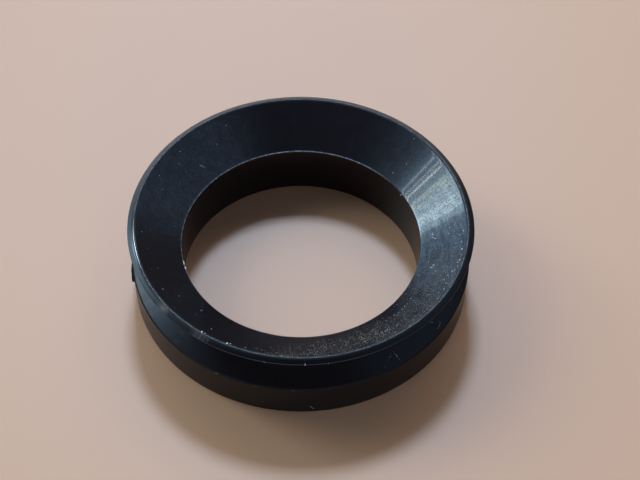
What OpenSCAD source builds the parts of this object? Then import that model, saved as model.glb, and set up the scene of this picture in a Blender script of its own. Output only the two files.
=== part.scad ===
// V-ring seal: one moulded rubber ring for a rotating shaft.
// A stiff body grips the shaft with its bore and sits on its flat back. A thin conical lip
// stands on the bore's edge, and a deep V groove between the two lets the lip flex.
// The back lies on z = 0, and the shaft's axis is the Z axis. Millimetres throughout.

/* [Bore] */
// Diameter of the bore before it is stretched over its shaft
bore_d = 20; // [16:0.5:60]
// Height of the bore's wall, from the flat back to the lip's inner edge
bore_h = 4.7; // [4:0.1:5.6]

/* [Body] */
// Radial thickness of the body at its flat back
body_t = 4.1; // [3.8:0.05:4.6]
// Height of the outer wall, from the flat back to the shoulder's edge
wall_h = 3.2; // [1.5:0.1:3.6]
// How much further out the wall is at the shoulder's edge than at the back
wall_draft = 0.1; // [0:0.02:0.3]

/* [Groove] */
// How far the groove reaches inwards from the shoulder's edge
groove_depth = 2.6; // [1.2:0.1:2.9]
// Rise of the shoulder towards the groove's root, in degrees from flat
shoulder_slope = 33; // [15:1:38]

/* [Lip] */
// Height of the lip's crest above the flat back
lip_h = 7.25; // [6.6:0.05:9]
// How far the lip's crest stands out from the bore
lip_reach = 3.85; // [3.4:0.05:4.6]
// Width of the rim, the lip's narrow end face
rim_w = 0.65; // [0.5:0.05:0.9]
// Fall of the rim from the crest, in degrees from flat
rim_fall = 28; // [0:1:60]

/* [Rounds] */
// Round of the crest, where the cone meets the rim
crest_round = 0.2; // [0.05:0.01:0.3]
// Round of the rim's lower edge
rim_round = 0.06; // [0.03:0.01:0.12]
// Round at the bottom of the groove
root_round = 0.25; // [0.1:0.01:0.35]
// Round of the shoulder's edge
shoulder_round = 0.08; // [0.04:0.01:0.3]
// Round of the body's outer edge at the back
back_round = 0.12; // [0.05:0.01:0.4]
// Round of the bore's edges, at the back and at the lip
bore_round = 0.1; // [0.04:0.01:0.4]

/* [Torn flash] */
// Where round the ring the flash is torn off, in degrees from +X towards +Y
flash_end = 195; // [0:5:355]
// How far round the ring the flash runs before it fades into the wall, in degrees
flash_run = 11; // [5:1:40]
// How far the torn end stands out from the wall
flash_out = 0.19; // [0.05:0.01:0.5]
// Thickness of the flash
flash_t = 0.15; // [0.05:0.01:0.5]
// How far the flash lies below the shoulder's edge
flash_drop = 0.06; // [0.05:0.01:0.5]

/* [Hidden] */
$fn = 180;

rubber_colour = [0.10, 0.105, 0.115];

bore_r = bore_d / 2;
back_r = bore_r + body_t;
wall_r = back_r + wall_draft;
root_r = wall_r - groove_depth;
root_h = wall_h + groove_depth * tan(shoulder_slope);
crest_r = bore_r + lip_reach;
rim_r = crest_r + rim_w * cos(rim_fall);
rim_h = lip_h - rim_w * sin(rim_fall);

// The largest turn between two neighbouring flats of a round, in degrees
round_step = 15;

// The ring's section as corners: distance from the axis, height, and the corner's round
section_corners = [
    [bore_r, 0, bore_round],
    [back_r, 0, back_round],
    [wall_r, wall_h, shoulder_round],
    [root_r, root_h, root_round],
    [rim_r, rim_h, rim_round],
    [crest_r, lip_h, crest_round],
    [bore_r, bore_h, bore_round],
];

// How deep the flash is seated in the body, and how far its blank reaches past its outline
flash_seat = 0.6;
flash_spare = 1;

function corner_at(corners, i) = [corners[i].x, corners[i].y];
function direction(from, to) = (to - from) / norm(to - from);
function side_before(corners, i) =
    direction(corner_at(corners, i), corner_at(corners, (i + len(corners) - 1) % len(corners)));
function side_after(corners, i) =
    direction(corner_at(corners, i), corner_at(corners, (i + 1) % len(corners)));

// Points along a corner's round: an arc that touches the side before the corner, then the side
// after it. The outline runs anticlockwise, so a hollow corner's arc turns the other way
function round_points(corners, i) =
    let (
        before = side_before(corners, i),
        after = side_after(corners, i),
        half_angle = acos(before * after) / 2,
        bisector = direction([0, 0], before + after),
        centre = corner_at(corners, i) + bisector * corners[i].z / sin(half_angle),
        half_sweep = cross(before, after) < 0 ? 90 - half_angle : half_angle - 90,
        middle = atan2(-bisector.y, -bisector.x),
        steps = ceil(2 * abs(half_sweep) / round_step)
    )
    [
        for (k = [0 : steps])
            let (a = middle + half_sweep * (2 * k / steps - 1))
                centre + corners[i].z * [cos(a), sin(a)]
    ];

// A closed outline through the given corners, with each corner rounded
module rounded_outline(corners) {
    polygon([for (i = [0 : len(corners) - 1]) each round_points(corners, i)]);
}

// A thin fin of rubber at the mould's parting line. Its outer edge is an arc of the wall's own
// radius about a shifted centre, so it leaves the wall gradually and ends at the tear
module torn_flash() {
    flash_start = flash_end - flash_run;
    centre_shift = flash_out / sin(flash_run);
    inner_r = wall_r - flash_seat;
    outer_r = wall_r + flash_out + flash_spare;
    translate([0, 0, wall_h - flash_drop - flash_t])
        linear_extrude(height = flash_t)
            intersection() {
                rotate(flash_start + 90) translate([centre_shift, 0]) circle(r = wall_r);
                polygon([
                    for (edge = [[inner_r, flash_start], [outer_r, flash_start],
                                 [outer_r, flash_end], [inner_r, flash_end]])
                        edge.x * [cos(edge.y), sin(edge.y)]
                ]);
            }
}

module seal_ring() {
    color(rubber_colour)
        union() {
            rotate_extrude() rounded_outline(section_corners);
            torn_flash();
        }
}

seal_ring();
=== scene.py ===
"""V-ring seal: the moulded rubber ring's look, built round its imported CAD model.

The seal stands on its flat back. Its axis is Z, the back lies on z = 0, and azimuths run from +X
towards +Y. The lip's cone faces up and inwards, and the V groove opens outwards below the lip.
"""

import math
import random

import bmesh
import bpy
from bpy.props import FloatProperty, FloatVectorProperty, IntProperty, PointerProperty
from mathutils import Euler, Matrix, Vector


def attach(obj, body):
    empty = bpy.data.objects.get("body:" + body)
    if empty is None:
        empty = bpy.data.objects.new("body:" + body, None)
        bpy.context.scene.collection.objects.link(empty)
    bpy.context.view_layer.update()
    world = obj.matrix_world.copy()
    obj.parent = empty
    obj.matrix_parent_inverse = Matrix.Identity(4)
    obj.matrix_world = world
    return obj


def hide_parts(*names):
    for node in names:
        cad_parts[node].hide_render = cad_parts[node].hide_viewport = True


bl_info = {
    "name": "V-Ring Seal",
    "version": (1, 0, 0),
    "blender": (4, 5, 0),
    "location": "3D View > Sidebar > V-Ring",
    "description": "Moulded rubber V-ring with its torn flash, settled dust and a small studio",
    "category": "Object",
}

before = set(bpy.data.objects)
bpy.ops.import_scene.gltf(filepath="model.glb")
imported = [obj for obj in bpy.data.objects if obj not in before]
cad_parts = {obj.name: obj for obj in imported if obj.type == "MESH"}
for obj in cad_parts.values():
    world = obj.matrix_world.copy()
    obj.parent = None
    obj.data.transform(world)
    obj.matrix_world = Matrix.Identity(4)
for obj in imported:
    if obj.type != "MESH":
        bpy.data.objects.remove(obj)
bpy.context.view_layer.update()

BODY = "root"
CAD_RING = "seal_ring"
RING_PIECE = "rubber_ring"
MM = 0.001
# Points this close together are one point, in metres
SAME_PLACE = 1e-7
# The most that a random turn reaches, in radians
FULL_TURN = 6.28


# ---------------------------------------------------------------- sizes and finishes


def length(name, description, default, low=0.0, high=0.1):
    """A length in metres, as a user changes it."""
    return FloatProperty(name=name, description=description, default=default, min=low,
                         max=high, precision=5, subtype="DISTANCE", unit="LENGTH")


def angle(name, description, degrees):
    """An angle, given in degrees and kept in radians."""
    return FloatProperty(name=name, description=description, default=math.radians(degrees),
                         min=-math.tau, max=math.tau, subtype="ANGLE", unit="ROTATION")


def share(name, description, default):
    """A plain number from 0 to 1."""
    return FloatProperty(name=name, description=description, default=default, min=0.0,
                         max=1.0, precision=4)


def colour(name, description, default):
    """A linear colour."""
    return FloatVectorProperty(name=name, description=description, default=default, size=3,
                               min=0.0, max=1.0, subtype="COLOR")


def count(name, description, default, low=1, high=100000):
    """A whole number."""
    return IntProperty(name=name, description=description, default=default, min=low, max=high)


class SealSection(bpy.types.PropertyGroup):
    """The ring's section, from the same sizes as the solid."""

    bore_radius: length("Bore radius", "Radius of the bore before it is stretched", 10 * MM)
    bore_height: length("Bore height", "Height of the bore's wall up to the lip", 4.7 * MM)
    body_thickness: length("Body thickness", "Radial thickness of the body", 4.1 * MM)
    wall_height: length("Wall height", "Height of the outer wall", 3.2 * MM)
    wall_draft: length("Wall draft", "How far the wall leans outwards", 0.1 * MM)
    groove_depth: length("Groove depth", "How far the groove reaches inwards", 2.6 * MM)
    shoulder_slope: angle("Shoulder slope", "Rise of the shoulder towards the groove", 33)
    lip_height: length("Lip height", "Height of the lip's crest", 7.25 * MM)
    lip_reach: length("Lip reach", "How far the crest stands out from the bore", 3.85 * MM)
    rim_width: length("Rim width", "Width of the lip's narrow end face", 0.65 * MM)
    rim_fall: angle("Rim fall", "Fall of the rim from the crest", 28)
    bore_round: length("Bore round", "Round of the bore's edges", 0.10 * MM)
    back_round: length("Back round", "Round of the outer edge at the back", 0.12 * MM)
    shoulder_round: length("Shoulder round", "Round of the shoulder's edge", 0.08 * MM)
    root_round: length("Root round", "Round at the bottom of the groove", 0.25 * MM)
    rim_round: length("Rim round", "Round of the rim's lower edge", 0.06 * MM)
    crest_round: length("Crest round", "Round of the lip's crest", 0.30 * MM)
    unevenness: length("Unevenness", "How far the soft surface strays from true", 0.0025 * MM)
    facet_length: length("Facet length", "Longest facet along the section", 0.24 * MM)
    turn_steps: count("Turn steps", "Facets round the ring", 480, 64, 720)
    round_steps: count("Round steps", "Facets across each round", 8, 2, 12)


class SealFlash(bpy.types.PropertyGroup):
    """The torn flash at the mould's parting line."""

    torn_end: angle("Torn end", "Where round the ring the flash is torn off", 193.4)
    run: angle("Run", "How far round the ring the flash runs", 9.4)
    stand_out: length("Stand out", "How far the torn end stands out from the wall", 0.19 * MM)
    thickness: length("Thickness", "Thickness of the flash", 0.15 * MM)
    drop: length("Drop", "How far the flash lies below the shoulder's edge", 0.06 * MM)
    raggedness: length("Raggedness", "How uneven the torn edge is", 0.02 * MM)


class SealFinish(bpy.types.PropertyGroup):
    """The rubber's colour and gloss, with a painted highlight, sheen and reflections in the colour.
    """

    rubber: colour("Rubber", "The black rubber itself", (0.0038, 0.0026, 0.0031))
    satin: share("Satin", "Roughness of the moulded faces", 0.35)
    lip_satin: share("Lip satin", "Roughness of the lip's polished cone", 0.24)
    lip_gloss: share("Lip gloss", "Strength of the gloss on the lip's cone", 0.56)
    body_gloss: share("Body gloss", "Strength of the gloss elsewhere", 0.085)
    crest_satin: share("Crest satin", "Roughness of the lip's rounded crest", 0.58)
    bloom: share("Bloom", "How much the fine bloom covers", 0.021)
    bloom_tint: colour("Bloom tint", "The pale bloom on the rubber", (0.32, 0.28, 0.33))
    # The sides' warmer black is partly painted reflection of the warm floor
    side_rubber_and_reflection: colour("Side rubber", "The warmer black of wall, shoulder and bore",
                        (0.0052, 0.0021, 0.0021))
    # Painted reflection: the rim's far side is greyed warm as if it mirrored the floor
    rim_reflection_paint: share("Rim grey", "How far the rim's far side is greyed", 0.5)
    # Painted sheen: a bluish tint on the shoulder's left side, where the window's highlight falls
    shoulder_sheen_paint: share("Cloud", "How much bloom clouds the shoulder's left side", 0.035)
    shoulder_sheen_tint: colour("Cloud tint", "The bluish bloom on the shoulder", (0.10, 0.14, 0.26))
    rim_reflection_tint: colour("Grey tint", "The colour of the greyed rim", (0.168, 0.120, 0.100))
    # Painted highlight: a pale line along the bore's edge on its +Y side
    edge_highlight_paint: share("Edge rub", "How pale the bore's rubbed edge is", 0.62)
    edge_highlight_tint: colour("Rub colour", "The colour of the bore's rubbed edge", (0.34, 0.38, 0.42))


class SealDust(bpy.types.PropertyGroup):
    """The dust that settled on the lip."""

    dust: colour("Dust", "The pale dust", (0.55, 0.46, 0.39))
    # This colour also paints glints: three pale threads on the bore's edge
    speck: colour("Speck colour", "The colour of the lone specks and lint",
                  (0.82, 0.77, 0.70))
    start: angle("Start", "Where round the ring the dust begins", 251)
    end: angle("End", "Where round the ring the dust thins out", 352)
    film: share("Film", "How much the fine film covers", 0.17)
    grains: count("Grains", "Fine grains on the dusty side", 6400)
    specks: count("Specks", "Larger specks all round the lip", 90)
    seed: count("Seed", "Seed of the scatter", 7, 0, 999)


class SealStage(bpy.types.PropertyGroup):
    """The floor, the lamps and the camera."""

    floor: colour("Floor", "The plain pale floor", (0.66, 0.32, 0.162))
    floor_radius: length("Floor radius", "Radius of the floor", 3.0, 0.1, 10.0)
    lamp_distance: length("Lamp distance", "How far off the lamps stand", 2.0, 0.2, 10.0)
    sky: colour("Sky", "The dim surroundings", (0.032, 0.028, 0.032))
    lens: FloatProperty(name="Lens", description="Focal length of the camera in millimetres",
                        default=106.875, min=10.0, max=300.0)


class SealSettings(bpy.types.PropertyGroup):
    """All of the seal's settings."""

    section: PointerProperty(type=SealSection, name="Section", description="Ring's section")
    flash: PointerProperty(type=SealFlash, name="Flash", description="Torn flash")
    finish: PointerProperty(type=SealFinish, name="Finish", description="Rubber's finish")
    dust: PointerProperty(type=SealDust, name="Dust", description="Settled dust")
    stage: PointerProperty(type=SealStage, name="Stage", description="Floor, lamps, camera")


class Profile:
    """The ring's section worked out from its sizes, in metres."""

    def __init__(self, s):
        self.bore_r = s.bore_radius
        self.bore_h = s.bore_height
        self.back_r = s.bore_radius + s.body_thickness
        self.wall_r = self.back_r + s.wall_draft
        self.wall_h = s.wall_height
        self.root_r = self.wall_r - s.groove_depth
        self.root_h = s.wall_height + s.groove_depth * math.tan(s.shoulder_slope)
        self.crest_r = s.bore_radius + s.lip_reach
        self.crest_h = s.lip_height
        self.rim_r = self.crest_r + s.rim_width * math.cos(s.rim_fall)
        self.rim_h = s.lip_height - s.rim_width * math.sin(s.rim_fall)
        self.cone_rise = (self.crest_h - self.bore_h) / (self.crest_r - self.bore_r)
        # Each face: its two edges, and its outward normal's parts outwards and upwards
        crest = (self.crest_r, self.crest_h)
        wall = (self.wall_r, self.wall_h)
        self.faces = {
            "cone": ((self.bore_r, self.bore_h), crest, (-self.cone_rise, 1.0)),
            "rim": (crest, (self.rim_r, self.rim_h), (math.tan(s.rim_fall), 1.0)),
            "shoulder": (wall, (self.root_r, self.root_h), (math.tan(s.shoulder_slope), 1.0)),
            "wall": ((self.back_r, 0.0), wall, (1.0, 0.0)),
        }

    def corners(self, s):
        """Name, distance from the axis, height and round of each corner, anticlockwise."""
        return [
            ("Bore back", self.bore_r, 0.0, s.bore_round),
            ("Wall back", self.back_r, 0.0, s.back_round),
            ("Shoulder", self.wall_r, self.wall_h, s.shoulder_round),
            ("Root", self.root_r, self.root_h, s.root_round),
            ("Rim", self.rim_r, self.rim_h, s.rim_round),
            ("Crest", self.crest_r, self.crest_h, s.crest_round),
            ("Bore lip", self.bore_r, self.bore_h, s.bore_round),
        ]

    def on_face(self, face, azimuth, across):
        """A point on a face and its outward normal: across is 0 at its first edge, 1 at its
        second."""
        (r, z), (far_r, far_z), tilt = self.faces[face]
        point = ring_point(azimuth, r + (far_r - r) * across, z + (far_z - z) * across)
        return point, ring_point(azimuth, *tilt).normalized()


def ring_point(azimuth, r, z):
    """The point at an azimuth in degrees, a distance from the axis and a height."""
    a = math.radians(azimuth)
    return Vector((r * math.cos(a), r * math.sin(a), z))


# ---------------------------------------------------------------- node trees


class Graph:
    """Adds nodes to one node tree."""

    def __init__(self, tree):
        self.tree = tree
        tree.nodes.clear()

    def node(self, kind, settings=None, sockets=None):
        """Adds a node: its settings first, then the values or links of its sockets. Gives
        back its first output as a Value, or the node itself where it has none."""
        made = self.tree.nodes.new(kind)
        for key, value in (settings or {}).items():
            if key == "items":
                while len(made.index_switch_items) < value:
                    made.index_switch_items.new()
            else:
                setattr(made, key, value)
        self.feed_all(made, sockets or {})
        shown = [socket for socket in made.outputs if socket.enabled]
        return Value(self, shown[0]) if shown else made

    def feed_all(self, node, sockets):
        """Feeds several sockets of one node."""
        for key, value in sockets.items():
            self.feed(node.inputs[key], value)

    def feed(self, socket, value):
        """Links a Value to a socket, or sets the socket's own value."""
        if isinstance(value, Value):
            self.tree.links.new(value.socket, socket)
        else:
            socket.default_value = value

    def math(self, operation, *terms):
        """A Math node on up to three terms."""
        return self.node("ShaderNodeMath", {"operation": operation}, dict(enumerate(terms)))

    def vector(self, operation, *terms):
        """A Vector Math node on its terms."""
        return self.node("ShaderNodeVectorMath", {"operation": operation},
                         dict(enumerate(terms)))

    def scaled(self, vector, factor):
        """A vector or colour times a number."""
        node = self.node("ShaderNodeVectorMath", {"operation": "SCALE"}, {0: vector})
        self.feed(node.socket.node.inputs["Scale"], factor)
        return node

    def xyz(self, x, y, z):
        """A vector from its parts."""
        return self.node("ShaderNodeCombineXYZ", None, {0: x, 1: y, 2: z})

    def parts(self, vector):
        """The three parts of a vector."""
        x = self.node("ShaderNodeSeparateXYZ", None, {0: vector})
        return x, x.output("Y"), x.output("Z")

    def on_object(self):
        """Where a point lies in its object's own coordinates."""
        return self.node("ShaderNodeTexCoord").output("Object")

    def azimuth(self, x, y):
        """The azimuth of a point in degrees, from -180 to 180."""
        return self.math("ARCTAN2", y, x) * math.degrees(1)

    def counted_from(self, lowest, azimuth):
        """The same azimuth, counted upwards from the lowest one."""
        return azimuth + 360 * self.math("LESS_THAN", azimuth, lowest)

    def blend(self, factor, first, second):
        """A colour between two colours, each a Value or three numbers."""
        first, second = (c if isinstance(c, Value) else (*c, 1) for c in (first, second))
        return self.node("ShaderNodeMix", {"data_type": "RGBA"},
                         {0: factor, 6: first, 7: second})

    def between(self, factor, first, second):
        """A number between two numbers."""
        return first + (second - first) * factor

    def step(self, value, low, high):
        """Rises smoothly from 0 at low to 1 at high."""
        return self.node("ShaderNodeMapRange", {"interpolation_type": "SMOOTHSTEP"},
                         {0: value, 1: low, 2: high, 3: 0.0, 4: 1.0})

    def band(self, value, rise, fall):
        """1 between a smooth rise and a smooth fall, each given by its start and end."""
        return self.step(value, *rise) * (1 - self.step(value, *fall))

    def hill(self, value, centre, width):
        """1 at centre, falling smoothly to 0 at width to either side."""
        return 1 - self.step(abs(value - centre), 0.0, width)

    def noise(self, where, scale, detail=2.0, roughness=0.5):
        """A noise from 0 to 1, about 0.5 in the middle."""
        return self.node("ShaderNodeTexNoise", {"noise_dimensions": "3D"},
                         {"Vector": where, "Scale": scale, "Detail": detail,
                          "Roughness": roughness})


def operators(operation):
    """The plain and the reflected method of an operator, which add its Math node."""
    def plain(self, other):
        return self.graph.math(operation, self, other)

    def reflected(self, other):
        return self.graph.math(operation, other, self)

    return plain, reflected


class Value:
    """A socket whose operators add the Math nodes that they stand for."""

    def __init__(self, graph, socket):
        self.graph = graph
        self.socket = socket

    __add__, __radd__ = operators("ADD")
    __sub__, __rsub__ = operators("SUBTRACT")
    __mul__, __rmul__ = operators("MULTIPLY")
    __truediv__, __rtruediv__ = operators("DIVIDE")
    __pow__, __rpow__ = operators("POWER")

    def __neg__(self):
        return self * -1.0

    def __abs__(self):
        return self.graph.math("ABSOLUTE", self)

    def output(self, key):
        """Another output of the same node."""
        return Value(self.graph, self.socket.node.outputs[key])

    def clamped(self):
        """The value held between 0 and 1."""
        return self.graph.node("ShaderNodeClamp", None, {0: self})


class GeometryGraph(Graph):
    """A Geometry Nodes tree with named inputs and one geometry output."""

    def __init__(self, name):
        super().__init__(bpy.data.node_groups.new(name, "GeometryNodeTree"))
        self.tree.interface.new_socket("Geometry", in_out="OUTPUT",
                                       socket_type="NodeSocketGeometry")

    def inputs(self, kinds):
        for name, kind in kinds.items():
            self.tree.interface.new_socket(name, in_out="INPUT",
                                           socket_type="NodeSocket" + kind)
        entry = self.tree.nodes.new("NodeGroupInput")
        return {name: Value(self, entry.outputs[name]) for name in kinds}

    def finish(self, geometry, material):
        """Ends the tree in Realize Instances and Set Material."""
        real = self.node("GeometryNodeRealizeInstances", None, {0: geometry})
        done = self.node("GeometryNodeSetMaterial", None,
                         {"Geometry": real, "Material": material})
        self.tree.nodes.new("NodeGroupOutput")
        self.feed(self.tree.nodes[-1].inputs[0], done)

    def make(self, name, values):
        """A plain mesh object from the tree and the values of its named inputs."""
        carrier = bpy.data.objects.new(name + "_carrier", bpy.data.meshes.new(name + "_blank"))
        bpy.context.scene.collection.objects.link(carrier)
        modifier = carrier.modifiers.new("Shape", "NODES")
        modifier.node_group = self.tree
        for item in self.tree.interface.items_tree:
            if item.in_out == "INPUT":
                modifier[item.identifier] = values[item.name]
        depsgraph = bpy.context.evaluated_depsgraph_get()
        mesh = bpy.data.meshes.new_from_object(carrier.evaluated_get(depsgraph),
                                               preserve_all_data_layers=True,
                                               depsgraph=depsgraph)
        carrier.modifiers.remove(modifier)
        bpy.data.objects.remove(carrier)
        return add_piece(name, mesh)


def skin_into(shape, rings):
    """Closes a tube through rings that all have the same number of points."""
    for before, after in zip(rings, rings[1:]):
        for j in range(len(before)):
            k = (j + 1) % len(before)
            shape.faces.new((before[j], before[k], after[k], after[j]))
    shape.faces.new(rings[0][::-1])
    shape.faces.new(rings[-1])


def piece_from(shape, name, material):
    """Turns a built shape into a piece with one material."""
    mesh = bpy.data.meshes.new(name)
    shape.to_mesh(mesh)
    shape.free()
    mesh.materials.append(material)
    return add_piece(name, mesh)


def add_piece(name, mesh):
    """Links a finished mesh as a piece at the origin."""
    mesh.name = name
    piece = bpy.data.objects.new(name, mesh)
    bpy.context.scene.collection.objects.link(piece)
    if not mesh.vertices:
        raise RuntimeError(name + " came out empty")
    return piece


# ---------------------------------------------------------------- materials


def new_material(name):
    """A node material with a Principled shader, as its material, graph and shader node."""
    material = bpy.data.materials.new(name)
    material.use_nodes = True
    graph = Graph(material.node_tree)
    shader = graph.tree.nodes.new("ShaderNodeBsdfPrincipled")
    output = graph.tree.nodes.new("ShaderNodeOutputMaterial")
    graph.tree.links.new(shader.outputs[0], output.inputs["Surface"])
    return material, graph, shader


# Marks on the rubber: the middle of each and how far it reaches to either side, in degrees
WIPED_DUST = (318.0, 13.0)
RIM_SMEAR = (236.8, 5.0)
RIM_SCUFF = (220.0, 3.5)
SHOULDER_SWIRL = (225.0, 7.0)
# Painted sheen on the shoulder's left side
PAINTED_SHOULDER_SHEEN = (208.0, 20.0)
POLISHED_CREST = (192.0, 13.0)
# Painted glint on the bore's edge
PAINTED_EDGE_GLINT = (200.0, 4.0)
STREAKY_CONE = (31.0, 9.0)
WAVY_CONE = (4.5, 10.0)
# Longer marks: where each begins and where it ends, both as a stretch in degrees
# Painted reflection on the rim's far side
PAINTED_RIM_REFLECTION = ((5.0, 60.0), (150.0, 188.0))
# Painted highlight along the bore's edge
PAINTED_EDGE_HIGHLIGHT = ((35.0, 60.0), (204.0, 214.0))
# The cone's wipe marks lie round this azimuth, and fade over this stretch to either side of it
WIPE_MIDDLE, WIPE_FADE = -16, (18.0, 30.0)
# How much later the dust begins at the bore than at the crest, in degrees
DUST_SLANT = 22


class RingPlace:
    """Where a point of the ring lies, as shader values in millimetres and degrees."""

    def __init__(self, graph, profile):
        g = self.graph = graph
        self.mm = g.scaled(g.on_object(), 1 / MM)
        x, y, self.z = g.parts(self.mm)
        self.r = (x * x + y * y) ** 0.5
        self.azimuth = g.azimuth(x, y)
        self.turned = g.counted_from(0.0, self.azimuth)
        bore, crest = profile.bore_r / MM, profile.crest_r / MM
        self.across = (self.r - bore) / (crest - bore)
        below_cone = (self.r - bore) * profile.cone_rise + (profile.bore_h / MM - self.z)
        self.on_cone = 1 - g.step(below_cone, 0.005, 0.018)
        self.in_bore = 1 - self.beyond(profile.bore_r, 0.02, 0.06)
        self.on_crest = self.above(profile.crest_h, -0.13, -0.08)
        self.on_rim = self.above(profile.rim_h, -0.02, 0.03) * self.beyond(profile.crest_r,
                                                                           0.02, 0.10)
        self.on_shoulder = ((1 - self.on_cone) * (1 - self.in_bore)
                            * self.above(profile.wall_h, 0.03, 0.10)
                            * (1 - self.above(profile.rim_h, -0.30, -0.20)))
        self.on_sides = ((self.in_bore + self.beyond(profile.back_r, -0.04, 0.0)).clamped()
                         * (1 - self.above(profile.bore_h, -0.12, -0.06)))
        self.at_bore_edge = ((1 - self.beyond(profile.bore_r, 0.10, 0.16))
                             * self.above(profile.bore_h, -0.16, -0.10))
        # The band along the bore's edge that takes the painted highlight
        self.at_painted_edge_highlight = ((1 - self.beyond(profile.bore_r, 0.02, 0.065))
                               * self.above(profile.bore_h, -0.07, -0.03))
        self.at_rim_edge = (self.beyond(profile.rim_r, -0.09, -0.05)
                            * self.above(profile.rim_h, -0.10, -0.05))
        self.at_shoulder_edge = (self.beyond(profile.back_r, -0.12, -0.07)
                                 * self.above(profile.wall_h, -0.10, -0.06)
                                 * (1 - self.above(profile.wall_h, 0.04, 0.09)))

    def beyond(self, radius, low, high):
        """Rises from 0 at low to 1 at high, both in millimetres outwards from a radius."""
        return self.graph.step(self.r, radius / MM + low, radius / MM + high)

    def above(self, height, low, high):
        """Rises from 0 at low to 1 at high, both in millimetres upwards from a height."""
        return self.graph.step(self.z, height / MM + low, height / MM + high)

    def radial_lines(self, lines):
        """Noise in lines that run from the bore outwards, so many to the degree."""
        where = self.graph.xyz(self.azimuth * lines, self.r * 0.12, self.z * 0.12)
        return self.graph.noise(where, 1.0, 3.0, 0.6)

    def turning_lines(self, width, slant=0.0):
        """Noise in lines that run round the ring, at this spacing in millimetres. Each line
        drifts inwards by the slant in every degree."""
        over = (self.r + self.azimuth * slant) / width
        where = self.graph.xyz(self.azimuth * 0.06, over, self.z / width)
        return self.graph.noise(where, 1.0, 2.0, 0.6)


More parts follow.
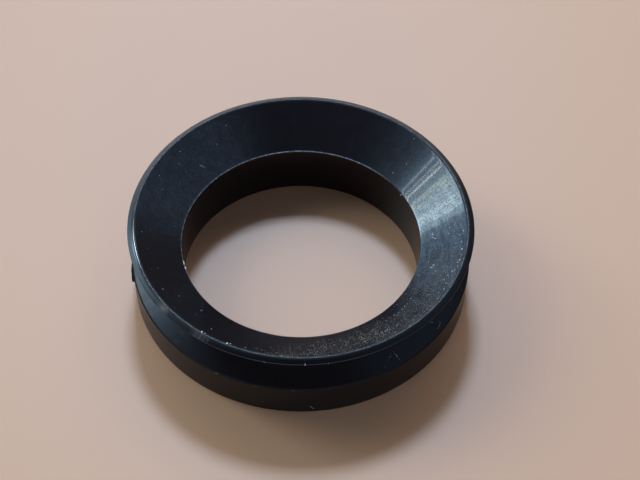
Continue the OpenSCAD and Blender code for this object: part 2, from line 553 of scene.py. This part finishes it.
class RubberLook:
    """The moulded rubber's look: its marks as shader values, and what each socket gets."""

    polished_satin = 0.26
    dull_satin = 0.78

    def __init__(self, graph, profile, finish, dust):
        g = self.graph = graph
        self.finish, self.dust = finish, dust
        place = self.place = RingPlace(g, profile)
        self.radial = place.radial_lines(0.9)
        self.turning = place.turning_lines(0.09)
        self.mottle = g.noise(place.mm, 1.1, 4.0, 0.65)
        self.grain = g.noise(place.mm, 6.5, 3.0, 0.8)
        self.fine = g.step(g.noise(place.mm, 7.5, 2.0, 0.75), 0.56, 0.68)
        # Wipe marks cross the bloom and the gloss of the cone
        self.wiped = place.turning_lines(0.24, 0.05)
        self.swept = place.on_cone * (1 - g.step(abs(place.azimuth - WIPE_MIDDLE), *WIPE_FADE))
        self.wipes = 1 + self.swept * (2.4 * g.step(self.wiped, 0.40, 0.62) - 0.9)
        self.polished = g.hill(place.turned, *POLISHED_CREST)
        self.streaky = (1.7 * g.hill(place.turned, *STREAKY_CONE)).clamped()
        self.edges = (place.at_bore_edge + 0.45 * place.at_rim_edge).clamped()
        self.film = self.settled_dust() + self.smears() * (0.3 + 0.7 * self.fine)

    def settled_dust(self):
        """The film of dust on one side of the lip, thickest in the outer half."""
        g, place, dust = self.graph, self.place, self.dust
        start = math.degrees(dust.start) + DUST_SLANT * (1 - place.across)
        end = math.degrees(dust.end)
        dusty = g.band(place.turned, (start - 8, start + 22), (end - 14, end + 4))
        dusty = dusty * (0.30 + 0.70 * g.step(place.across, 0.05, 0.45))
        wiped_clean = g.hill(place.turned, *WIPED_DUST) * (1 - g.step(place.across, 0.28, 0.34))
        dusty = dusty * (1 - 0.8 * wiped_clean)
        patches = g.step(g.noise(place.mm, 0.7, 3.0), 0.26, 0.58)
        clumps = g.step(g.noise(place.mm, 3.2, 3.0, 0.65), 0.44, 0.70)
        cover = 0.16 + 1.6 * self.fine * (0.25 + 0.75 * clumps)
        return place.on_cone * dusty * patches * cover * dust.film

    def smears(self):
        """Faint smears across the rim and a swirl on the shoulder."""
        g, place = self.graph, self.place
        smear = place.on_rim * (g.hill(place.turned, *RIM_SMEAR) * g.step(self.radial, 0.34, 0.56)
                                + 1.3 * g.hill(place.turned, *RIM_SCUFF))
        swirl = (place.on_shoulder * g.hill(place.turned, *SHOULDER_SWIRL)
                 * g.step(self.mottle, 0.42, 0.62))
        return 0.30 * smear + 0.05 * swirl

    def tint(self):
        """The base colour: the bare rubber, and each layer that lies over it. Some layers are
        painted light: reflections on the rim and sides, a sheen on the shoulder and a highlight on
        the bore's edge.
        """
        g, place, finish = self.graph, self.place, self.finish
        bloom = (finish.bloom * self.wipes * (0.04 + 0.96 * place.on_cone)
                 * (0.6 + 0.8 * self.mottle))
        # Painted sheen: bluish tint where the window's highlight falls on the shoulder
        painted_sheen = finish.shoulder_sheen_paint * (place.on_shoulder * g.hill(place.turned, *PAINTED_SHOULDER_SHEEN))
        # Painted reflection: the rim's far side greyed warm like the floor it faces
        painted_reflection = place.on_rim * g.band(place.turned, *PAINTED_RIM_REFLECTION)
        painted_reflection = finish.rim_reflection_paint * painted_reflection * (0.5 + 1.0 * self.mottle)
        # Painted highlight: the bore's edge is painted pale along its +Y side, brightest at one
        # glint
        painted_highlight = (g.band(place.turned, *PAINTED_EDGE_HIGHLIGHT) * (0.45 + 0.9 * g.step(self.radial, 0.40, 0.60))
                  + 1.6 * g.hill(place.turned, *PAINTED_EDGE_GLINT))
        painted_highlight = finish.edge_highlight_paint * painted_highlight * place.at_painted_edge_highlight
        tint = g.blend(g.noise(place.mm, 0.35), [c * 0.9 for c in finish.rubber],
                       [c * 1.12 for c in finish.rubber])
        # The sides' warmer black among these layers is partly painted reflection of the floor
        layers = ((bloom, finish.bloom_tint),
                  (place.on_sides + place.on_shoulder, finish.side_rubber_and_reflection),
                  (painted_sheen, finish.shoulder_sheen_tint), (painted_reflection, finish.rim_reflection_tint),
                  (painted_highlight, finish.edge_highlight_tint), (self.film, self.dust.dust))
        for cover, layer_tint in layers:
            tint = g.blend(cover.clamped(), tint, layer_tint)
        return tint

    def roughness(self):
        """Smoothest on the cone, the edges and in the bore, dull on the shoulder's edge."""
        g, place, finish = self.graph, self.place, self.finish
        base = g.between(place.on_cone, finish.satin, finish.lip_satin)
        crest = g.between(self.polished, finish.crest_satin, self.polished_satin)
        base = g.between(place.on_crest, base, crest)
        base = g.between((self.edges + place.in_bore).clamped(), base, finish.lip_satin)
        base = g.between(place.at_shoulder_edge, base, self.dull_satin)
        lines = self.radial * place.on_cone + self.turning * (1 - place.on_cone)
        rough = base + 0.06 * (self.grain - 0.5) + 0.08 * (lines - 0.5) + 0.6 * self.film
        return rough.clamped()

    def gloss(self):
        """The coat: on the lip's cone and the edges, worn unevenly and dulled by dust."""
        g, place, finish = self.graph, self.place, self.finish
        gloss = (finish.lip_gloss * place.on_cone * (1 - place.on_crest)
                 + finish.body_gloss * (1 - place.at_shoulder_edge) * (1 - 0.6 * place.on_rim))
        worn = ((0.80 + 0.20 * g.step(self.radial, 0.36, 0.62))
                * (0.70 + 0.6 * g.step(self.mottle, 0.3, 0.7)))
        worn = worn * (0.45 + 1.2 * g.step(self.grain, 0.40, 0.62))
        worn = worn + (1.1 - worn) * 0.45 * self.streaky * (1 + 0.5 * (self.wipes - 1))
        brushed = 1 + 0.6 * self.swept * (g.step(self.wiped, 0.40, 0.60) - 0.5)
        gloss = gloss * worn * brushed * (1 - 3 * self.film).clamped()
        gloss = gloss + (self.edges + 0.55 * place.on_crest * self.polished).clamped()
        return gloss.clamped()

    def normal(self):
        """Fine pits, slow waves and mould lines, all a few thousandths of a millimetre deep."""
        g, place = self.graph, self.place
        pits = g.noise(place.mm, 5.0, 3.0, 0.7)
        waves = g.noise(place.mm, 1.4, 2.0)
        flat = 1 - place.on_crest
        calm = 1 - 0.96 * self.streaky
        pitted = 0.25 * (1 - self.polished) + 0.75 * place.on_cone * flat
        wavy = 0.0014 * calm + 0.006 * g.hill(place.turned, *WAVY_CONE) * place.on_cone
        height = ((pits * 0.0010 + self.grain * 0.0007) * pitted * calm + waves * wavy
                  + self.turning * 0.0006 * (1 - place.on_cone) * flat)
        return g.node("ShaderNodeBump", None,
                      {"Strength": 1.0, "Distance": MM, "Height": height})


def rubber_material(profile, finish, dust):
    """Satin black moulded rubber: a polished lip, fine mould lines, scuffs and dust."""
    material, g, shader = new_material("moulded_black_rubber")
    look = RubberLook(g, profile, finish, dust)
    g.feed_all(shader, {"Base Color": look.tint(), "Roughness": look.roughness(),
                        "Coat Weight": look.gloss(), "Normal": look.normal(),
                        "Coat Roughness": 0.06, "Coat IOR": 1.5, "Specular IOR Level": 0.28,
                        "Specular Tint": (0.86, 0.93, 1.0, 1)})
    return material


def torn_material(finish):
    """The dull torn rubber of the flash."""
    material, g, shader = new_material("torn_black_rubber")
    g.feed_all(shader, {"Roughness": 0.62 + 0.2 * g.noise(g.on_object(), 6000.0),
                        "Base Color": (*finish.rubber, 1), "Specular IOR Level": 0.12})
    return material


def dust_material(name, palest, darkest):
    """Matt dust that varies from its palest colour down to this share of it."""
    material, g, shader = new_material(name)
    shade = g.step(g.noise(g.on_object(), 9000.0), 0.36, 0.62)
    g.feed_all(shader, {"Base Color": g.blend(shade, [c * darkest for c in palest], palest),
                        "Roughness": 0.8})
    return material


# ---------------------------------------------------------------- the ring


def section_tree(names):
    """The section's corners as a rounded closed outline, turned round the shaft's axis."""
    g = GeometryGraph("Ring turned from its section")
    kinds = {name + part: "Float" for name in names for part in (" radius", " height", " round")}
    kinds.update({"Axis offset": "Float", "Facet length": "Float", "Unevenness": "Float",
                  "Turn steps": "Int", "Round steps": "Int", "Material": "Material"})
    v = g.inputs(kinds)

    index = g.node("GeometryNodeInputIndex")
    corner = {0: index}
    rounds = {0: index}
    for i, name in enumerate(names):
        corner[i + 1] = g.xyz(v[name + " radius"] - v["Axis offset"], -v[name + " height"], 0.0)
        rounds[i + 1] = v[name + " round"]
    where, round_of = (
        g.node("GeometryNodeIndexSwitch", {"data_type": kind, "items": len(names)}, of_corner)
        for kind, of_corner in (("VECTOR", corner), ("FLOAT", rounds)))
    dots = g.node("GeometryNodePoints", None, {"Count": len(names), "Position": where})
    outline = g.node("GeometryNodePointsToCurves", None, {0: dots})
    outline = g.node("GeometryNodeSetSplineCyclic", None, {0: outline, "Cyclic": True})
    outline = g.node("GeometryNodeFilletCurve", {"mode": "POLY"},
                     {0: outline, "Count": v["Round steps"], "Radius": round_of,
                      "Limit Radius": True})

    here = g.node("GeometryNodeInputPosition")
    following = g.node("GeometryNodeOffsetPointInCurve", None,
                       {"Point Index": index, "Offset": 1}).output("Point Index")
    there = g.node("GeometryNodeFieldAtIndex",
                   {"data_type": "FLOAT_VECTOR", "domain": "POINT"},
                   {"Index": following, "Value": here})
    gap = g.vector("DISTANCE", here, there).output("Value")
    cuts = g.math("FLOOR", gap / v["Facet length"])
    outline = g.node("GeometryNodeSubdivideCurve", None, {0: outline, "Cuts": cuts})

    path = g.node("GeometryNodeCurvePrimitiveCircle", {"mode": "RADIUS"},
                  {"Resolution": v["Turn steps"], "Radius": v["Axis offset"]})
    path = g.node("GeometryNodeSetCurveNormal", {"mode": "Z_UP"}, {0: path})
    ring = g.node("GeometryNodeCurveToMesh", None, {"Curve": path, "Profile Curve": outline})

    drift = g.node("ShaderNodeTexNoise", {"noise_dimensions": "3D"},
                   {"Vector": here, "Scale": 170.0, "Detail": 1.0}).output("Color")
    drift = g.vector("SUBTRACT", drift, (0.5, 0.5, 0.5))
    drift = g.scaled(drift, v["Unevenness"] * 2)
    ring = g.node("GeometryNodeSetPosition", None, {0: ring, "Offset": drift})
    ring = g.node("GeometryNodeSetShadeSmooth", None, {0: ring, "Shade Smooth": True})
    g.finish(ring, v["Material"])
    return g


def outward(mesh):
    """Turns all of a closed mesh's faces to point out of it."""
    shape = bmesh.new()
    shape.from_mesh(mesh)
    bmesh.ops.remove_doubles(shape, verts=shape.verts, dist=SAME_PLACE)
    bmesh.ops.recalc_face_normals(shape, faces=shape.faces)
    if shape.calc_volume(signed=True) < 0:
        bmesh.ops.reverse_faces(shape, faces=shape.faces)
    shape.to_mesh(mesh)
    shape.free()


class VRING_OT_ring(bpy.types.Operator):
    """Turn the ring from its section and give it its rubber"""

    bl_idname = "vring.ring"
    bl_label = "Rubber Ring"

    def execute(self, context):
        settings = context.scene.vring
        section = settings.section
        profile = Profile(section)
        corners = profile.corners(section)
        values = {"Axis offset": section.bore_radius, "Facet length": section.facet_length,
                  "Unevenness": section.unevenness, "Turn steps": section.turn_steps,
                  "Round steps": section.round_steps,
                  "Material": rubber_material(profile, settings.finish, settings.dust)}
        for name, r, z, rounding in corners:
            values.update({name + " radius": r, name + " height": z,
                           name + " round": rounding})
        tree = section_tree([corner[0] for corner in corners])
        ring = tree.make(RING_PIECE, values)
        outward(ring.data)
        weighted = ring.modifiers.new("Crisp flats", "WEIGHTED_NORMAL")
        weighted.keep_sharp = True
        weighted.weight = 80
        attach(ring, BODY)
        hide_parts(CAD_RING)
        return {"FINISHED"}


# ---------------------------------------------------------------- the torn flash


# The flash's section past the wall: how far each point lies back from the torn edge, in
# millimetres, and how high it lies as a share of half the thickness
TORN_EDGE = ((0.03, 0.8), (0.0, 0.2), (0.01, -0.5), (0.04, -1.0))


class VRING_OT_flash(bpy.types.Operator):
    """Add the thin torn flash on the shoulder's edge"""

    bl_idname = "vring.flash"
    bl_label = "Torn Flash"

    steps = 36
    seat = 0.3 * MM
    thin_end = 0.35
    seed = 11

    def execute(self, context):
        settings = context.scene.vring
        flash = settings.flash
        profile = Profile(settings.section)
        draw = random.Random(self.seed)
        inner = profile.wall_r - self.seat
        middle = profile.wall_h - flash.drop - flash.thickness / 2
        shape = bmesh.new()
        rings = []
        wander = 0.0
        for i in range(self.steps + 1):
            along = i / self.steps
            azimuth = math.degrees(flash.torn_end - flash.run * (1 - along))
            wander = 0.6 * wander + draw.uniform(-1, 1) * flash.raggedness * along
            outer = profile.wall_r + flash.stand_out * math.sin(along * math.pi / 2) + wander
            half = flash.thickness / 2 * (self.thin_end + (1 - self.thin_end) * along)
            section = [(inner, 1.0), (profile.wall_r, 1.0),
                       *[(outer - back * MM, lift) for back, lift in TORN_EDGE], (inner, -1.0)]
            rings.append([shape.verts.new(ring_point(azimuth, r, middle + half * lift))
                          for r, lift in section])
        skin_into(shape, rings)
        bmesh.ops.recalc_face_normals(shape, faces=shape.faces)
        piece = piece_from(shape, "torn_flash", torn_material(settings.finish))
        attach(piece, BODY)
        return {"FINISHED"}


# ---------------------------------------------------------------- dust


def scatter_tree():
    """Grains scattered over the lip's cone between two azimuths, thickest in its outer part."""
    g = GeometryGraph("Grains scattered on the lip")
    v = g.inputs({"Ring": "Object", "Density": "Float", "Seed": "Int", "Smallest": "Float",
                  "Largest": "Float", "Start azimuth": "Float", "End azimuth": "Float",
                  "Inner edge": "Float", "Bore radius": "Float", "Bore height": "Float",
                  "Lip reach": "Float", "Cone rise": "Float", "Patchiness": "Float",
                  "Material": "Material"})
    ring = g.node("GeometryNodeObjectInfo", None, {"Object": v["Ring"]}).output("Geometry")
    here = g.node("GeometryNodeInputPosition")
    x, y, z = g.parts(here)
    r = (x * x + y * y) ** 0.5
    across = (r - v["Bore radius"]) / v["Lip reach"]
    azimuth = g.counted_from(0.0, g.azimuth(x, y))
    below = (r - v["Bore radius"]) * v["Cone rise"] + v["Bore height"] - z
    on_cone = g.math("LESS_THAN", below, 0.04 * MM)
    start, end = v["Start azimuth"] + DUST_SLANT * (1 - across), v["End azimuth"]
    inside = g.band(azimuth, (start - 10, start + 26), (end - 12, end + 10))
    spread = inside * (0.15 + 0.85 * g.step(across, v["Inner edge"], v["Inner edge"] + 0.5))
    patches = g.step(g.noise(here, 600.0, 3.0), 0.40, 0.65)
    patches = 1 - v["Patchiness"] * (1 - patches)
    dots = g.node("GeometryNodeDistributePointsOnFaces", {"distribute_method": "RANDOM"},
                  {"Mesh": ring, "Density": v["Density"] * on_cone * spread * patches,
                   "Seed": v["Seed"]})
    grain = g.node("GeometryNodeMeshIcoSphere", None, {"Radius": 1.0, "Subdivisions": 1})
    chance, turn = (
        g.node("FunctionNodeRandomValue", {"data_type": "FLOAT_VECTOR"},
               {"Min": (0.0, 0.0, 0.0), "Max": (most, most, most), "Seed": v["Seed"] + later})
        for most, later in ((1.0, 1), (FULL_TURN, 2)))
    long, large, _ = g.parts(chance)
    # Most grains are small and few are large
    size = v["Smallest"] + (v["Largest"] - v["Smallest"]) * large ** 3.0
    size = g.scaled(g.xyz(1.0, 0.6 + 0.8 * long, 0.8), size)
    grains = g.node("GeometryNodeInstanceOnPoints", None,
                    {"Points": dots, "Instance": grain, "Rotation": turn, "Scale": size})
    g.finish(grains, v["Material"])
    return g


# Each lone speck: azimuth in degrees, share of the way from bore to crest, and its size in
# millimetres
CONE_SPECKS = (
    (121, 0.77, 0.040), (128, 0.53, 0.035), (143, 0.82, 0.040), (147, 0.66, 0.035),
    (157, 0.81, 0.040), (161, 0.63, 0.040), (201, 0.63, 0.030), (212, 0.78, 0.045),
    (216, 0.53, 0.040), (226, 0.36, 0.040), (237, 0.71, 0.050), (236.5, 0.99, 0.080),
    (237.6, 0.97, 0.050), (246, 0.98, 0.100), (247, 0.95, 0.062), (252, 0.9, 0.050),
    (294, 0.75, 0.060), (303, 0.7, 0.070), (304, 0.68, 0.062), (308, 0.71, 0.060),
    (312.5, 0.35, 0.045), (314.4, 0.37, 0.040), (317, 0.355, 0.050), (319, 0.335, 0.040),
    (320.5, 0.345, 0.045), (324, 0.31, 0.055), (328, 0.84, 0.060), (330, 0.9, 0.062),
    (333, 0.86, 0.056), (335, 0.76, 0.056), (337, 0.8, 0.062), (340, 0.48, 0.050),
    (341, 0.92, 0.062), (343, 0.89, 0.062), (344, 0.92, 0.069), (346, 0.24, 0.050),
    (346.5, 0.74, 0.056), (349, 0.91, 0.069), (352.5, 0.88, 0.069), (352.5, 0.76, 0.056),
    (356, 0.82, 0.056), (356.5, 0.68, 0.050), (357.5, 0.9, 0.062), (358.5, 0.6, 0.056),
    (0.5, 0.84, 0.050), (0.7, 0.52, 0.040), (1.3, 0.62, 0.045), (2.4, 0.74, 0.045),
    (9, 0.3, 0.040), (13, 0.88, 0.045), (31.5, -0.02, 0.050), (40.5, 0.46, 0.035),
    (43, 0.17, 0.045), (45, 0.91, 0.045),
)
# Azimuth, share of the way across, and radius in millimetres of each dried ring mark
DROP_RINGS = ((343, 0.36, 0.20), (339.3, 0.87, 0.18))
# Places for grains round a ring mark, and the chance that one stays empty
DROP_DOTS, DROP_GAPS = 16, 0.25
# Lint, ticks, scratches and three pale threads of painted highlight on the bore's edge: face,
# thickness in millimetres, then azimuth and share across
STROKES = (
    ("cone", 0.085, ((2.6, 0.27), (1.8, 0.25), (0.9, 0.28))),
    ("cone", 0.090, ((359.2, 0.295), (358.4, 0.325))),
    ("cone", 0.060, ((0.2, 0.25), (359.6, 0.28))),
    # Painted highlight: these three pale threads on the bore's edge stand in for glints
    ("cone", 0.050, ((186.3, 0.003), (187.3, 0.003))),
    ("cone", 0.090, ((193.9, 0.004), (195.0, 0.0), (196.2, 0.003))),
    ("cone", 0.100, ((197.2, 0.002), (198.2, -0.003), (199.0, 0.002))),
    ("cone", 0.020, ((140.0, 0.40), (139.6, 0.34), (138.6, 0.27))),
    ("shoulder", 0.007, ((305.0, 0.42), (303.0, 0.30), (300.0, 0.12))),
    ("shoulder", 0.006, ((305.0, 0.42), (305.8, 0.28), (306.0, 0.12))),
    ("shoulder", 0.030, ((324.9, 0.34), (324.0, 0.41))),
    ("shoulder", 0.016, ((327.5, 0.22), (326.4, 0.15), (324.6, 0.13))),
    ("rim", 0.050, ((272.3, 0.72), (272.3, 1.0))),
    ("rim", 0.026, ((279.5, 0.86), (279.6, 1.0))),
    ("rim", 0.018, ((259.0, 0.90), (259.8, 0.97))),
    ("wall", 0.014, ((273.9, 0.26), (274.5, 0.22), (275.3, 0.13))),
    ("wall", 0.020, ((241.8, 0.97), (243.0, 0.99))),
    ("wall", 0.014, ((255.6, 0.97), (256.9, 0.99))),
    ("wall", 0.014, ((268.0, 0.96), (269.2, 0.99))),
)


def drop_ring_into(shape, profile, azimuth, across, radius, draw):
    """Sets down a broken ring of grains, left where a drop dried."""
    for step in range(DROP_DOTS):
        if draw.random() < DROP_GAPS:
            continue
        place, normal = profile.on_face("cone", azimuth, across)
        side = normal.orthogonal().normalized()
        arm = Matrix.Rotation(step * math.tau / DROP_DOTS, 3, normal) @ side
        spot = place + arm * radius * MM * draw.uniform(0.55, 1.2)
        grain_into(shape, spot, normal, draw.uniform(0.025, 0.05), draw)


def stroke_into(shape, profile, face, thickness, points):
    """Lays a thin tapering thread along points of one face."""
    spots = [profile.on_face(face, *point) for point in points]
    half = thickness * MM / 2
    rings = []
    for i, (place, normal) in enumerate(spots):
        ahead = spots[min(i + 1, len(spots) - 1)][0] - spots[max(i - 1, 0)][0]
        side = ahead.cross(normal).normalized()
        taper = 0.6 if i in (0, len(spots) - 1) else 1.0
        arms = (side, normal * 1.2, -side, -normal)
        rings.append([shape.verts.new(place + arm * half * taper) for arm in arms])
    skin_into(shape, rings)


def grain_into(shape, place, normal, size, draw):
    """Adds one irregular grain, part sunk in the surface that it sits on."""
    spin = Euler([draw.uniform(0, FULL_TURN) for _ in range(3)]).to_matrix().to_4x4()
    squash = Matrix.Diagonal((draw.uniform(0.7, 1.2), draw.uniform(0.7, 1.2), 0.7, 1.0))
    scale = Matrix.Scale(size * MM, 4)
    move = Matrix.Translation(place + normal * size * MM * 0.3)
    bmesh.ops.create_icosphere(shape, subdivisions=1, radius=1.0,
                               matrix=move @ spin @ scale @ squash)


class VRING_OT_dust(bpy.types.Operator):
    """Scatter the settled dust and set down the specks and lint"""

    bl_idname = "vring.dust"
    bl_label = "Settled Dust"

    def execute(self, context):
        settings = context.scene.vring
        section, dust = settings.section, settings.dust
        profile = Profile(section)
        cone_area = math.pi * (profile.crest_r ** 2 - profile.bore_r ** 2) * math.hypot(
            1, profile.cone_rise)
        common = {"Ring": bpy.data.objects[RING_PIECE], "Bore radius": profile.bore_r,
                  "Bore height": profile.bore_h, "Cone rise": profile.cone_rise,
                  "Lip reach": section.lip_reach, "Seed": dust.seed,
                  "Material": dust_material("pale_dust", dust.dust, 0.12)}
        # Name, number of grains, share of the cone that they cover, and the layer's own values
        layers = (
            ("dust_grains", dust.grains, 0.16,
             {"Smallest": 0.008 * MM, "Largest": 0.042 * MM, "Inner edge": 0.15,
              "Start azimuth": math.degrees(dust.start),
              "End azimuth": math.degrees(dust.end), "Patchiness": 0.70}),
            ("dust_specks", dust.specks, 1.0,
             {"Smallest": 0.010 * MM, "Largest": 0.050 * MM, "Inner edge": 0.0,
              "Start azimuth": -60.0, "End azimuth": 420.0, "Patchiness": 0.2}),
        )
        tree = scatter_tree()
        for name, number, covered, own in layers:
            density = number / (cone_area * covered)
            piece = tree.make(name, {**common, **own, "Density": density})
            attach(piece, BODY)

        draw = random.Random(dust.seed)
        shape = bmesh.new()
        for azimuth, across, size in CONE_SPECKS:
            grain_into(shape, *profile.on_face("cone", azimuth, across), size, draw)
        for mark in DROP_RINGS:
            drop_ring_into(shape, profile, *mark, draw)
        for stroke in STROKES:
            stroke_into(shape, profile, *stroke)
        bmesh.ops.recalc_face_normals(shape, faces=shape.faces)
        # These specks include the pale threads of painted glints on the bore's edge
        specks = piece_from(shape, "lip_specks",
                            dust_material("dried_specks_and_painted_glints", dust.speck, 0.85))
        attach(specks, BODY)
        return {"FINISHED"}


# ---------------------------------------------------------------- the stage


# Each upright window pane: name, azimuth from and to in degrees, brightness and tint
PANES = (
    ("edge_pane", 141.5, 144.5, 3.6, (0.72, 0.98, 1.14)),
    ("wide_pane", 144.5, 150.0, 8.0, (0.76, 0.98, 1.06)),
    ("dull_pane", 150.0, 154.5, 5.3, (0.74, 0.97, 1.08)),
    ("inner_pane", 154.5, 159.3, 6.2, (0.82, 0.99, 0.92)),
    ("dark_pane", 159.3, 162.7, 1.0, (0.66, 0.98, 1.06)),
    ("first_slit", 163.2, 163.85, 17.0, (0.92, 1.02, 1.02)),
    ("second_slit", 165.4, 165.9, 10.0, (0.92, 1.02, 0.98)),
    ("last_slit", 168.4, 169.1, 8.5, (0.76, 0.98, 1.10)),
)
# How high the panes' feet and heads stand, in degrees
PANE_FOOT, PANE_HEAD = 16.0, 47.0
# Each lamp behind the ring, which only its small rounds mirror: name, lean to the side,
# elevation in degrees, width, height, brightness and tint
BACK_LAMPS = (
    ("soft_box", 0.0, 40, 2.8, 1.1, 1.5, (1.06, 0.97, 0.88)),
    ("high_lamp", -0.03, 51, 0.32, 0.32, 52.0, (0.62, 0.95, 1.36)),
)
# The camera's elevation and roll in radians, its distance in metres, and how far it is moved
# to its right and upwards
CAMERA_ELEVATION, CAMERA_ROLL, CAMERA_DISTANCE = 0.888467, 0.0142409, 0.1628042
CAMERA_RIGHT, CAMERA_UP = 0.00163480, 0.00299599


def surroundings(stage):
    """The dim room: a cool glow beside the window, weaker ones across from it and in front."""
    world = bpy.data.worlds.new("dim_surroundings")
    world.use_nodes = True
    g = Graph(world.node_tree)
    way = g.vector("NORMALIZE", g.on_object())
    x, y, z = g.parts(way)
    azimuth = g.counted_from(-90.0, g.azimuth(x, y))
    height = g.math("ARCSINE", z) * math.degrees(1)
    before = (0.45 * g.step(azimuth, 96.0, 108.0) + 0.5 * g.step(azimuth, 112.0, 130.0)
              + 0.7 * g.step(azimuth, 128.0, 142.0))
    after = (0.75 * (1 - g.step(azimuth, 165.0, 181.0))
             + 0.25 * (1 - g.step(azimuth, 180.0, 222.0)))
    beside = before * after * g.band(height, (-2.0, 4.0), (42.0, 64.0))
    across = (0.36 * g.band(azimuth, (-62.0, -20.0), (34.0, 56.0))
              * g.band(height, (10.0, 32.0), (52.0, 70.0)))
    # Low in front: only the edges' rounds mirror it
    front = 3.0 * g.step(-y, 0.45, 0.80) * g.band(height, (1.0, 6.0), (16.0, 28.0))
    light = tuple(stage.sky)
    for glow, tint in ((beside, (0.55, 0.88, 1.25)), (across, (0.55, 0.86, 1.25)),
                       (front, (0.66, 0.94, 1.28))):
        light = g.vector("ADD", light, g.scaled(tint, glow))
    background = g.node("ShaderNodeBackground", None, {"Color": light, "Strength": 1.0})
    g.node("ShaderNodeOutputWorld", None, {"Surface": background})
    return world


def lay_floor(stage):
    """The plain floor, a hair below the ring."""
    material, g, shader = new_material("plain_pale_floor")
    g.feed_all(shader, {"Base Color": (*stage.floor, 1), "Roughness": 0.5,
                        "Specular IOR Level": 0.8})
    shape = bmesh.new()
    bmesh.ops.create_circle(shape, cap_ends=True, segments=128, radius=stage.floor_radius,
                            matrix=Matrix.Translation((0, 0, -0.02 * MM)))
    return piece_from(shape, "studio_floor", material)


def hang_lamp(name, place, outwards, width, height, brightness, tint):
    """Hangs a rectangular lamp whose back faces outwards."""
    lamp = bpy.data.lights.new(name, "AREA")
    lamp.shape = "RECTANGLE"
    lamp.size, lamp.size_y = width, height
    lamp.energy = brightness * math.pi * width * height
    lamp.color = tint
    hung = bpy.data.objects.new(name, lamp)
    across = Vector((0, 0, 1)).cross(outwards).normalized()
    upwards = outwards.cross(across)
    turn = Matrix((across, upwards, outwards)).transposed().to_4x4()
    hung.matrix_world = Matrix.Translation(place) @ turn
    hung.visible_camera = False
    bpy.context.scene.collection.objects.link(hung)


def stand_pane(distance, name, first, last, brightness, tint):
    """Stands an upright window pane that faces the axis."""
    middle = math.radians((first + last) / 2)
    width = 2 * distance * math.tan(math.radians(last - first) / 2)
    bottom = distance * math.tan(math.radians(PANE_FOOT))
    top = distance * math.tan(math.radians(PANE_HEAD))
    outwards = Vector((math.cos(middle), math.sin(middle), 0))
    place = outwards * distance + Vector((0, 0, (bottom + top) / 2))
    hang_lamp(name, place, outwards, width, top - bottom, brightness, tint)


def place_camera(scene, lens):
    """Sets up the camera in front of the ring, looking down at it."""
    camera = bpy.data.cameras.new("main_camera")
    camera.sensor_fit = "HORIZONTAL"
    camera.sensor_width = 36.0
    camera.lens = lens
    camera.clip_start, camera.clip_end = 0.005, 20.0
    eye = bpy.data.objects.new("main_camera", camera)
    level = Vector((1, 0, 0))
    back = Vector((0, -math.cos(CAMERA_ELEVATION), math.sin(CAMERA_ELEVATION)))
    upright = back.cross(level)
    right = math.cos(CAMERA_ROLL) * level + math.sin(CAMERA_ROLL) * upright
    up = math.cos(CAMERA_ROLL) * upright - math.sin(CAMERA_ROLL) * level
    turn = Matrix((right, up, back)).transposed().to_4x4()
    place = back * CAMERA_DISTANCE + right * CAMERA_RIGHT + up * CAMERA_UP
    eye.matrix_world = Matrix.Translation(place) @ turn
    scene.collection.objects.link(eye)
    scene.camera = eye


class VRING_OT_stage(bpy.types.Operator):
    """Lay the floor, hang the lamps and place the camera"""

    bl_idname = "vring.stage"
    bl_label = "Stage"

    def execute(self, context):
        scene = context.scene
        stage = scene.vring.stage
        lay_floor(stage)
        for pane in PANES:
            stand_pane(stage.lamp_distance, *pane)
        for name, lean, elevation, *rest in BACK_LAMPS:
            lift = math.radians(elevation)
            outwards = Vector((lean, math.cos(lift), math.sin(lift))).normalized()
            hang_lamp(name, outwards * stage.lamp_distance, outwards, *rest)
        scene.world = surroundings(stage)
        scene.view_settings.view_transform = "Standard"
        place_camera(scene, stage.lens)
        return {"FINISHED"}


# ---------------------------------------------------------------- panel and main


STEPS = (VRING_OT_ring, VRING_OT_flash, VRING_OT_dust, VRING_OT_stage)


class VRING_PT_sidebar(bpy.types.Panel):
    """The seal's settings and the steps that make it"""

    bl_idname = "VRING_PT_sidebar"
    bl_label = "V-Ring Seal"
    bl_space_type = "VIEW_3D"
    bl_region_type = "UI"
    bl_category = "V-Ring"

    def draw(self, context):
        settings = context.scene.vring
        for name in ("section", "flash", "finish", "dust", "stage"):
            box = self.layout.box()
            box.label(text=name.capitalize())
            group = getattr(settings, name)
            for key in group.bl_rna.properties.keys():
                if key not in {"rna_type", "name"}:
                    box.prop(group, key)
        for step in STEPS:
            self.layout.operator(step.bl_idname)


CLASSES = (SealSection, SealFlash, SealFinish, SealDust, SealStage, SealSettings, *STEPS,
           VRING_PT_sidebar)


def register():
    for cls in CLASSES:
        bpy.utils.register_class(cls)
    bpy.types.Scene.vring = PointerProperty(type=SealSettings, name="V-ring seal",
                                            description="Settings of the V-ring seal")


def unregister():
    del bpy.types.Scene.vring
    for cls in reversed(CLASSES):
        bpy.utils.unregister_class(cls)


def main():
    """Makes the ring, its flash, its dust and the stage."""
    register()
    for step in STEPS:
        group, name = step.bl_idname.split(".")
        getattr(getattr(bpy.ops, group), name)()


if __name__ == "__main__":
    main()
